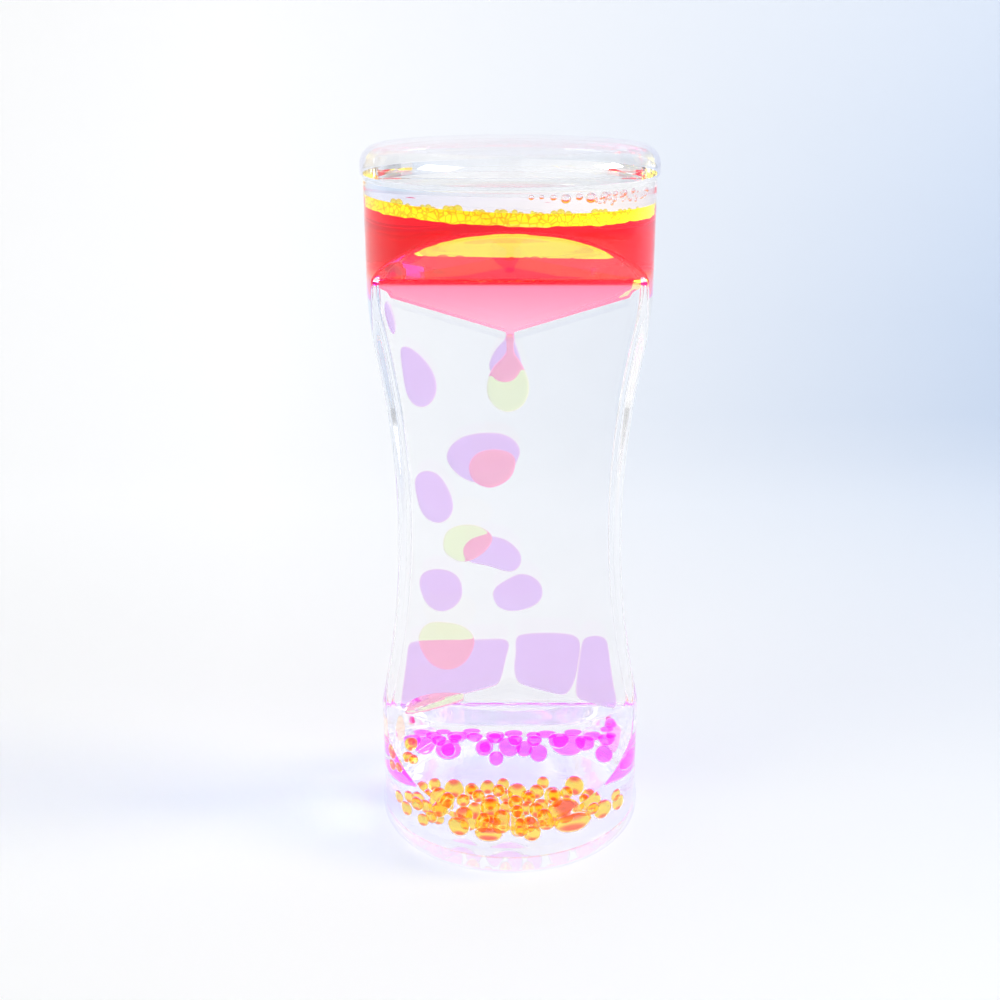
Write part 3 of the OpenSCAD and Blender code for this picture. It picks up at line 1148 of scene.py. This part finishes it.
FALLING: dict[str, tuple[Point, ...]] = {
    "front_drop_1": ((-3.0, 83.9), (-6.9, 83.0), (-8.6, 80.3), (-7.9, 77.3), (-6.0, 75.8),
                     (-3.2, 75.2), (0.7, 77.5), (1.6, 81.2), (0.6, 83.0)),
    "front_drop_2": ((-13.4, 61.9), (-12.0, 60.7), (-10.3, 59.8), (-8.0, 60.0),
                     (-6.3, 60.9), (-4.5, 62.3), (-3.1, 64.4), (-3.2, 65.9), (-5.5, 67.7),
                     (-8.3, 68.3), (-11.6, 67.7), (-13.4, 66.1), (-13.8, 63.5)),
    "front_drop_3": ((-19.0, 42.1), (-18.2, 39.7), (-16.6, 37.2), (-14.2, 35.9),
                     (-11.8, 35.9), (-9.4, 37.1), (-7.8, 39.3), (-6.8, 42.1), (-7.3, 44.3),
                     (-8.9, 45.8), (-10.9, 46.6), (-13.6, 47.0), (-16.1, 47.1),
                     (-18.1, 46.0), (-19.1, 43.9)),
    "rear_drop_1": ((-21.1, 99.0), (-20.6, 94.4), (-20.0, 92.4), (-19.0, 91.0),
                    (-17.7, 90.3), (-16.3, 90.4), (-15.1, 91.2), (-14.1, 93.0),
                    (-13.9, 95.1), (-14.5, 97.6), (-15.9, 99.9), (-17.7, 101.8),
                    (-19.5, 103.0), (-20.9, 103.2), (-21.4, 102.2)),
    "rear_drop_2": ((-10.9, 76.8), (-7.9, 75.1), (-4.0, 74.7), (-1.3, 75.5), (0.7, 77.3),
                    (1.8, 79.7), (2.6, 81.9), (1.3, 84.3), (-1.3, 85.6), (-4.3, 85.8),
                    (-7.0, 85.6), (-10.0, 84.8), (-12.4, 82.8), (-13.2, 80.0)),
    "rear_drop_3": ((-18.9, 72.1), (-18.2, 69.2), (-16.8, 67.2), (-14.8, 66.3),
                    (-13.1, 66.6), (-11.6, 67.9), (-11.0, 70.1), (-11.5, 72.6),
                    (-12.7, 75.3), (-14.2, 77.4), (-16.5, 78.2), (-18.5, 77.6),
                    (-19.4, 75.8)),
    "rear_drop_4": ((-9.2, 58.7), (-7.8, 58.0), (-5.8, 57.7), (-3.5, 57.1), (-1.2, 56.2),
                    (1.0, 55.9), (2.6, 57.3), (2.8, 59.8), (1.0, 62.1), (-1.0, 63.4),
                    (-3.0, 63.9), (-4.6, 64.2), (-7.4, 63.9), (-9.4, 62.5), (-10.1, 60.5)),
    "rear_drop_5": ((-18.5, 51.2), (-17.5, 48.8), (-15.5, 47.2), (-13.3, 47.0),
                    (-11.0, 48.2), (-9.6, 50.2), (-9.4, 52.5), (-10.1, 54.9), (-12.0, 56.5),
                    (-14.5, 57.0), (-16.7, 56.8), (-18.5, 55.8), (-19.0, 53.7)),
    "rear_drop_6": ((-3.3, 48.6), (-1.3, 47.3), (1.6, 47.2), (4.6, 48.1), (6.6, 49.5),
                    (7.2, 51.5), (6.7, 53.6), (4.9, 55.3), (2.8, 55.9), (1.1, 55.6),
                    (-1.0, 54.4), (-3.2, 53.0), (-4.1, 51.3)),
}


HANGING: dict[Side, tuple[Point, ...]] = {
    Side.FRONT: ((-0.75, 106.0), (-0.7, 104.6), (-0.6, 103.3), (-0.8, 102.4), (-1.8, 101.1),
                 (-3.3, 99.7), (-4.2, 97.7), (-4.5, 96.0), (-4.4, 94.2), (-3.4, 92.4),
                 (-1.8, 91.2), (-0.4, 90.9), (1.2, 91.3), (2.7, 92.4), (3.6, 94.4),
                 (3.7, 96.2), (3.4, 97.9), (2.0, 100.8), (1.0, 102.1), (0.7, 103.1),
                 (0.7, 104.6), (0.75, 106.0)),
    Side.REAR: ((-0.75, 105.2), (-0.8, 104.4), (-1.2, 103.8), (-2.7, 102.4), (-3.9, 100.1),
                (-4.1, 98.6), (-3.4, 96.9), (-2.6, 96.1), (-1.1, 95.7), (0.5, 96.0),
                (1.5, 97.0), (2.3, 98.6), (2.2, 100.1), (1.3, 102.6), (0.95, 103.8),
                (0.8, 104.4), (0.75, 105.2)),
}


RESTING: dict[str, tuple[Point, ...]] = {
    "rear_resting_left": (
        (-22.4, 24.8), (-20.8, 25.2), (-15.5, 26.8), (-10.2, 28.4), (-3.6, 30.3),
        (-2.3, 30.9), (-1.9, 31.8), (-1.4, 33.6), (-0.7, 37.3), (-0.1, 39.4), (-0.4, 40.5),
        (-1.6, 40.9), (-4.4, 40.8), (-8.0, 40.6), (-14.4, 40.6), (-19.0, 40.4),
        (-20.9, 40.1), (-21.4, 39.2), (-21.7, 36.4), (-22.6, 30.6), (-23.2, 26.4),
        (-23.3, 25.0)),
    "rear_resting_middle": (
        (1.2, 37.7), (0.8, 35.1), (1.0, 32.6), (1.6, 31.2), (3.0, 30.5), (6.9, 29.3),
        (10.4, 28.3), (11.9, 28.3), (13.1, 29.8), (13.9, 32.3), (14.4, 36.0), (14.8, 39.4),
        (14.4, 41.0), (13.2, 41.8), (11.6, 42.1), (8.0, 42.3), (4.8, 42.2), (2.2, 41.9),
        (1.3, 41.3), (1.1, 40.2)),
    "rear_resting_right": (
        (14.1, 32.8), (13.8, 29.0), (14.2, 27.5), (15.4, 26.9), (18.4, 26.0), (20.9, 25.2),
        (22.3, 25.1), (22.7, 26.2), (22.5, 27.8), (21.9, 30.4), (21.2, 34.8), (20.6, 39.0),
        (20.2, 40.8), (18.9, 41.6), (17.2, 41.7), (15.4, 41.1), (14.8, 39.5)),
}


@dataclass
class RoundDrops:
    """A group of small round drops or bubbles.

    Attributes:
        name: The piece's name.
        spots: Each one's middle, its radius, and its height as a share of its width.
        slot: The record's slot.
        finish: Its finish.
        replaces: Names of the nodes it stands for.
    """

    name: str
    spots: Sequence[Spot]
    slot: Slot
    finish: ClearFinish
    replaces: tuple[str, ...] = ()
    around: int = 18

    def build(self) -> bpy.types.Object:
        """Builds the group as one piece and dresses it.

        Returns:
            The piece.
        """
        drops = []
        for place, radius, flat in self.spots:
            Workbench.clear_selection()
            bpy.ops.mesh.primitive_uv_sphere_add(
                segments=self.around, ring_count=self.around // 2 + 1, radius=radius * MM,
                location=Vector(place) * MM)
            bpy.context.object.scale.z = flat
            drops.append(bpy.context.object)
        piece = Workbench.join(drops, self.name)
        Workbench.settle(piece, 180)
        return Workbench.dress(piece, Body.COLUMN, self.slot, self.finish,
                               replaces=self.replaces)


@dataclass
class Froth:
    """The bubbles on both waters' surfaces and under the top cap."""

    inside: float = 24.7
    yellow_level: float = 130.7
    magenta_level: float = 129.7
    tilt: float = math.tan(math.radians(1.8))
    band_height: float = 2.2
    band_inset: float = 1.4
    band_turn: float = math.radians(84)
    divider: float = 0.75
    cap_inside: float = 133.6

    def at_wall(self, x: float, radius: float, z: float) -> Point3:
        """Finds the middle of a bubble that touches the round front wall.

        Args:
            x: Its place along the column's width.
            radius: Its radius.
            z: Its height.

        Returns:
            The bubble's middle.
        """
        return x, -math.sqrt((self.inside - radius - 0.1) ** 2 - x**2), z

    def band(self) -> bpy.types.Object:
        """Builds the milky layer of fine yellow froth along the front wall.

        Returns:
            The piece.
        """
        Workbench.clear_selection()
        bpy.ops.mesh.primitive_grid_add(x_subdivisions=160, y_subdivisions=8, size=2)
        piece = Workbench.named("yellow_froth_band")
        for vertex in piece.data.vertices:
            turn = vertex.co.x * self.band_turn
            share = (vertex.co.y + 1) / 2
            radius = self.inside - self.band_inset
            x = radius * math.sin(turn)
            top = self.yellow_level - self.tilt * x - 0.1
            ragged = (0.08 * math.sin(11 * turn) + 0.06 * math.sin(29 * turn + 1)
                      + 0.05 * math.sin(47 * turn + 2))
            z = top - (1 - share) * (self.band_height + ragged)
            vertex.co = Vector((x, -radius * math.cos(turn), z)) * MM
        Workbench.modify(piece, "SOLIDIFY", thickness=0.4 * MM, offset=-1)
        Workbench.tidy(piece)
        Workbench.settle(piece, 60)
        return Workbench.dress(piece, Body.COLUMN, Slot.YELLOW, MilkyFinish())

    def build(self) -> None:
        """Builds the yellow froth, the magenta half-bubbles and the air under the cap."""
        self.band()
        RoundDrops("yellow_froth", self.yellow_spots(), Slot.YELLOW, YELLOW_FROTH,
                   around=16).build()
        RoundDrops("magenta_froth", self.magenta_spots(), Slot.MAGENTA,
                   MAGENTA_FROTH).build()
        air = self.cap_spots() + self.foam_spots() + self.glint_spots()
        RoundDrops("air_under_cap", air, Slot.CLEAR, AIR_BUBBLE, around=14).build()

    def yellow_spots(self) -> list[Spot]:
        """Lists a row of bubbles of many sizes along the yellow surface.

        Returns:
            Each bubble's middle, its radius and its flatness.
        """
        spots = []
        x = -21.0
        while x < 21.5:
            radius = random.choice((0.3, 0.4, 0.5, 0.6, 0.7, 0.85))
            level = self.yellow_level - self.tilt * x
            z = level - random.uniform(-0.1, 0.9) - 0.3 * radius
            spots.append((self.at_wall(x, radius, z + 0.25), radius, 0.9))
            x += radius + random.uniform(0.1, 0.55)
        return spots

    def magenta_spots(self) -> list[Spot]:
        """Lists the few larger bubbles on the magenta surface, along the divider."""
        sizes = {-12.4: 1.2, -9.3: 0.95, 0.3: 0.55, 3.0: 0.7, 4.6: 1.05, 6.4: 0.6,
                 -15.6: 0.5, 11.5: 0.5}
        return [((x, self.divider + radius, self.magenta_level - self.tilt * x - 0.1),
                 radius, 0.9) for x, radius in sizes.items()]

    def cap_spots(self) -> list[Spot]:
        """Lists the air bubbles that hang in a row under the cap."""
        sizes = {3.4: 0.5, 5.1: 0.45, 7.0: 0.6, 9.0: 0.95, 11.2: 0.7, 13.1: 1.05,
                 15.4: 0.8, 17.2: 0.55, 18.6: 0.7, 20.2: 0.5}
        return [(self.at_wall(x, radius, self.cap_inside - radius * 0.85), radius, 0.85)
                for x, radius in sizes.items()]

    def foam_spots(self) -> list[Spot]:
        """Lists the fine foam in the right corner under the cap.

        Returns:
            Each bubble's middle, its radius and its flatness.
        """
        spots = []
        for _ in range(46):
            radius = random.uniform(0.16, 0.36)
            x = random.uniform(13.5, 22.8)
            spots.append((self.at_wall(x, radius, random.uniform(131.4, 133.3)), radius, 1.0))
        return spots

    @staticmethod
    def glint_spots() -> list[Spot]:
        """Lists the tiny air bubbles at the front ramp's upper edge.

        Returns:
            Each bubble's middle, its radius and its flatness.
        """
        spots = []
        for _ in range(16):
            radius = random.uniform(0.14, 0.26)
            spots.append(((random.uniform(-8.5, 5.5), -5.6, random.uniform(117.0, 117.7)),
                          radius, 1.0))
        return spots


@dataclass
class FloorBeads:
    """The pile of round water beads on one chamber's floor.

    Attributes:
        side: Its chamber.
        top: Height that no bead passes.
        count: Beads in the pile.
        sizes: Radii that the beads may have.
        near: Distance from the middle plane inside which no bead's middle lies.
        far: The same distance beyond which none lies.
        floor: Height of the floor.
        limit: Radius of the wall inside.
        divider: Distance from the middle plane at which the divider's face is cleared.
        tries: Places that are tried.
    """

    side: Side
    top: float
    count: int
    sizes: tuple[float, ...]
    near: float = 0.0
    far: float = 25.0
    floor: float = 6.3
    limit: float = 24.7
    divider: float = 0.75
    tries: int = 9000

    def places(self) -> list[Spot]:
        """Drops beads of many sizes one after another, each where it comes to rest.

        Returns:
            Each bead's middle, its radius and its flatness.
        """
        found = list(LENSES[self.side])
        for _ in range(self.tries):
            if len(found) >= self.count:
                break
            radius = random.choice(self.sizes)
            x = random.uniform(-self.limit, self.limit)
            y = random.uniform(self.divider + radius, self.limit - radius)
            away = math.hypot(x, y)
            if away > self.limit - radius or not self.near < y < self.far:
                continue
            z = self.floor + radius
            for (other_x, other_y, other_z), other, flat in found:
                reach = other + radius + 0.03
                away = math.hypot(x - other_x, y - abs(other_y))
                if away < reach:
                    z = max(z, other_z + math.sqrt(reach**2 - away**2) * flat)
            if z + radius < self.top:
                found.append(((x, self.side.value * y, z), radius, 1.0))
        return found

    def build(self) -> bpy.types.Object:
        """Builds the pile and dresses it.

        Returns:
            The piece.
        """
        front = self.side is Side.FRONT
        return RoundDrops(f"{self.side.prefix}_bead_pile", self.places(),
                          Slot.YELLOW if front else Slot.MAGENTA,
                          YELLOW_BEAD if front else MAGENTA_BEAD,
                          (f"{self.side.prefix}_floor_beads",), around=14).build()


LENSES: dict[Side, tuple[Spot, ...]] = {
    Side.FRONT: (((11.5, -17.2, 8.6), 3.9, 0.55), ((-4.0, -21.0, 7.9), 2.7, 0.55)),
    Side.REAR: (((12.8, 8.0, 9.2), 4.2, 0.65), ((-13.5, 6.0, 8.6), 3.0, 0.7)),
}
GLOBULES: dict[Side, tuple[Spot, ...]] = {
    Side.FRONT: (((-20.9, -5.0, 17.6), 1.5, 1.1), ((-21.6, -6.2, 14.9), 1.3, 0.9),
                 ((-20.2, -8.6, 15.9), 1.1, 1.0)),
    Side.REAR: (((21.5, 4.2, 20.4), 1.4, 1.3), ((20.9, 6.2, 16.9), 1.6, 1.2),
                ((22.0, 4.4, 14.3), 1.2, 1.1)),
}


# Studio


@dataclass
class Studio:
    """The pale sweep that it stands on, the light and the camera."""

    white: Colour = linear(254, 254, 254)
    blue: Colour = linear(188, 201, 220)
    backdrop_y: float = 0.55
    gap: float = 0.00005
    paper: float = 0.7
    floor_glow: float = 0.26
    backdrop_glow: float = 0.36

    def build(self) -> None:
        """Builds the floor, the backdrop, the lamps, the sky and the camera."""
        self._sweep()
        self._world()
        self._lamps()
        self._camera()
        cycles = bpy.context.scene.cycles
        cycles.max_bounces = 32
        cycles.transmission_bounces = 32
        cycles.glossy_bounces = 12
        cycles.transparent_max_bounces = 48

    def _sweep(self) -> None:
        """Builds the floor that curves up into the backdrop."""
        Workbench.clear_selection()
        bpy.ops.mesh.primitive_grid_add(x_subdivisions=8, y_subdivisions=80, size=2)
        piece = Workbench.named("sweep")
        length, bend, rise = 3.0, 0.3, 1.6
        quarter = bend * math.pi / 2
        flat = length + self.backdrop_y - bend
        total = flat + quarter + rise
        for vertex in piece.data.vertices:
            s = (vertex.co.y + 1) / 2 * total
            x = vertex.co.x * 3
            if s < flat:
                y, z = s - length, 0.0
            elif s < flat + quarter:
                a = (s - flat) / bend
                y, z = self.backdrop_y - bend + bend * math.sin(a), bend * (1 - math.cos(a))
            else:
                y, z = self.backdrop_y, bend + s - flat - quarter
            vertex.co = (x, y, z - self.gap)
        Workbench.settle(piece, 60)
        piece.data.materials.append(self._sweep_finish())

    def _gradient(self, tree: bpy.types.NodeTree, place: bpy.types.NodeSocket,
                  spans: Sequence[tuple[str, float, float, float, float]],
                  behind: float = 0.0) -> bpy.types.NodeSocket:
        """Adds a colour that turns from white at the left and in front to pale blue.

        Args:
            tree: The node tree.
            place: The coordinates it reads.
            spans: Axis, where it starts, where it ends, and the blue's share at both.
            behind: How far behind the camera's side X narrows to a point, or 0.

        Returns:
            The colour's socket.
        """
        nodes, links = tree.nodes, tree.links
        split = nodes.new("ShaderNodeSeparateXYZ")
        links.new(place, split.inputs["Vector"])
        axes = {axis: split.outputs[axis] for axis in "XYZ"}
        if behind:
            away = self._math(tree, "ADD", axes["Y"], behind)
            axes["X"] = self._math(tree, "DIVIDE", axes["X"], away)
        share = None
        for axis, low, high, first, last in spans:
            span = nodes.new("ShaderNodeMapRange")
            for name, value in (("From Min", low), ("From Max", high),
                                ("To Min", first), ("To Max", last)):
                span.inputs[name].default_value = value
            links.new(axes[axis], span.inputs["Value"])
            result = span.outputs["Result"]
            share = result if share is None else self._math(tree, "MULTIPLY", share, result)
        mix = nodes.new("ShaderNodeMix")
        mix.data_type = "RGBA"
        mix.inputs[6].default_value = (*self.white, 1)
        mix.inputs[7].default_value = (*self.blue, 1)
        links.new(share, mix.inputs[0])
        return mix.outputs[2]

    @staticmethod
    def _math(tree: bpy.types.NodeTree, operation: str, first: bpy.types.NodeSocket,
              second: bpy.types.NodeSocket | float) -> bpy.types.NodeSocket:
        """Adds one sum.

        Args:
            tree: The node tree.
            operation: Blender's name of the sum.
            first: Its first socket.
            second: Its second socket, or a number.

        Returns:
            The result's socket.
        """
        node = tree.nodes.new("ShaderNodeMath")
        node.operation = operation
        tree.links.new(first, node.inputs[0])
        if isinstance(second, bpy.types.NodeSocket):
            tree.links.new(second, node.inputs[1])
        else:
            node.inputs[1].default_value = second
        return node.outputs["Value"]

    @staticmethod
    def _seen(tree: bpy.types.NodeTree) -> bpy.types.NodeSocket:
        """Adds a factor that is 1 for what the eye, glass and gloss see.

        Args:
            tree: The node tree.

        Returns:
            The factor's socket.
        """
        light = tree.nodes.new("ShaderNodeLightPath")
        seen = light.outputs["Is Camera Ray"]
        for name in ("Is Glossy Ray", "Is Transmission Ray"):
            seen = Studio._math(tree, "MAXIMUM", seen, light.outputs[name])
        return seen

    def _sweep_finish(self) -> bpy.types.Material:
        """Builds the sweep's paper: pale where it is seen, with the soft shadow kept.

        Returns:
            The material.
        """
        material = bpy.data.materials.new("pale_paper")
        material.use_nodes = True
        tree = material.node_tree
        nodes, links = tree.nodes, tree.links
        nodes.clear()
        place = nodes.new("ShaderNodeTexCoord")
        colour = self._gradient(tree, place.outputs["Object"], (
            ("X", -0.17, 0.33, 0.0, 1.0), ("Y", -0.12, 0.3, 0.0, 1.0),
            ("Z", 0.03, 0.18, 1.0, 0.8)), behind=0.35)
        paper = nodes.new("ShaderNodeBsdfDiffuse")
        links.new(colour, paper.inputs["Color"])
        glow = nodes.new("ShaderNodeEmission")
        links.new(colour, glow.inputs["Color"])
        split = nodes.new("ShaderNodeSeparateXYZ")
        links.new(place.outputs["Object"], split.inputs["Vector"])
        span = nodes.new("ShaderNodeMapRange")
        for name, value in (("From Min", 0.06), ("From Max", 0.2),
                            ("To Min", self.floor_glow), ("To Max", self.backdrop_glow)):
            span.inputs[name].default_value = value
        links.new(split.outputs["Y"], span.inputs["Value"])
        links.new(self._math(tree, "MULTIPLY", self._seen(tree), span.outputs["Result"]),
                  glow.inputs["Strength"])
        dim = nodes.new("ShaderNodeMixShader")
        dim.inputs["Fac"].default_value = 1 - self.paper
        dark = nodes.new("ShaderNodeBsdfDiffuse")
        dark.inputs["Color"].default_value = (0, 0, 0, 1)
        links.new(paper.outputs["BSDF"], dim.inputs[1])
        links.new(dark.outputs["BSDF"], dim.inputs[2])
        add = nodes.new("ShaderNodeAddShader")
        links.new(dim.outputs["Shader"], add.inputs[0])
        links.new(glow.outputs["Emission"], add.inputs[1])
        output = nodes.new("ShaderNodeOutputMaterial")
        links.new(add.outputs["Shader"], output.inputs["Surface"])
        return material

    def _world(self) -> None:
        """Builds the sky: the backdrop's colours where it is seen, plain light elsewhere."""
        world = bpy.data.worlds.new("studio_sky")
        bpy.context.scene.world = world
        world.use_nodes = True
        tree = world.node_tree
        nodes, links = tree.nodes, tree.links
        nodes.clear()
        place = nodes.new("ShaderNodeTexCoord")
        seen = nodes.new("ShaderNodeBackground")
        links.new(self._gradient(tree, place.outputs["Generated"], (
            ("X", -0.3, 0.7, 0.0, 1.0), ("Y", -0.6, 0.5, 0.0, 1.0))), seen.inputs["Color"])
        plain = nodes.new("ShaderNodeBackground")
        plain.inputs["Color"].default_value = (0.95, 0.97, 1.0, 1)
        plain.inputs["Strength"].default_value = 0.55
        mix = nodes.new("ShaderNodeMixShader")
        links.new(self._seen(tree), mix.inputs["Fac"])
        links.new(plain.outputs["Background"], mix.inputs[1])
        links.new(seen.outputs["Background"], mix.inputs[2])
        output = nodes.new("ShaderNodeOutputWorld")
        links.new(mix.outputs["Shader"], output.inputs["Surface"])

    def _lamps(self) -> None:
        """Hangs a large soft lamp at the right and a smaller one at the left."""
        for name, place, size, watts in (
            ("key_softbox", (0.8, -0.05, 0.55), 0.3, 7.5),
            ("fill_softbox", (-0.6, -0.35, 0.55), 0.4, 1.6),
        ):
            bpy.ops.object.light_add(type="AREA", location=place)
            lamp = bpy.context.object
            lamp.name = name
            lamp.data.size = size
            lamp.data.energy = watts
            aim = Vector((0, 0, 0.05)) - Vector(place)
            lamp.rotation_euler = aim.to_track_quat("-Z", "Y").to_euler()

    def _camera(self) -> None:
        """Places the camera at the photograph's viewing angle."""
        data = bpy.data.cameras.new("camera")
        data.lens = 47.88
        data.sensor_width = 36
        data.shift_x = -0.01
        data.shift_y = 0.05
        data.clip_start = 0.005
        camera = bpy.data.objects.new("camera", data)
        bpy.context.scene.collection.objects.link(camera)
        camera.location = (0, -0.25294, 0.15858)
        camera.rotation_euler = (math.radians(90 - 21.2), 0, 0)
        bpy.context.scene.camera = camera


def main() -> None:
    """Builds every sub-assembly in order."""
    logging.basicConfig(level=logging.INFO, format="%(name)s: %(message)s")
    random.seed(7)
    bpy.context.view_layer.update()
    bpy.context.scene.view_settings.view_transform = "Standard"
    for side in Side:
        Shell(side).build()
        FillPlug(side).build()
    EndCap(top=True).build()
    EndCap(top=False).build()
    Divider().dress()
    for node in ("front_upper_ramp", "rear_upper_ramp", "front_lower_ramp",
                 "rear_lower_ramp"):
        Ramp(node).build()
    for side in Side:
        UpperPool(side, lift=1.4 if side is Side.REAR else 0.0).build()
        if side is Side.FRONT:
            FloorBeads(side, near=9.5, top=12.2, count=230,
                       sizes=(1.4, 1.6, 1.8, 2.0, 2.2)).build()
        else:
            FloorBeads(side, far=11.0, top=15.4, count=110,
                       sizes=(1.7, 1.9, 2.1, 2.3, 2.5)).build()
        front = side is Side.FRONT
        RoundDrops(f"{side.prefix}_gap_globules", GLOBULES[side],
                   Slot.YELLOW if front else Slot.MAGENTA,
                   YELLOW_BEAD if front else MAGENTA_BEAD).build()
    Drops().build()
    Froth().build()
    Studio().build()


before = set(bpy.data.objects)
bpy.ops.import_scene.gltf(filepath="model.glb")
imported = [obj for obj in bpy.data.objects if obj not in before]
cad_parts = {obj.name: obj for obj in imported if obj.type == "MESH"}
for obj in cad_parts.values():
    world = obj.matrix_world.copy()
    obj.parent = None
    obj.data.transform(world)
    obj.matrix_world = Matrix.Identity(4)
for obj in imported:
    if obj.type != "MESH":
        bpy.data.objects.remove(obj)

if __name__ == "__main__":
    main()
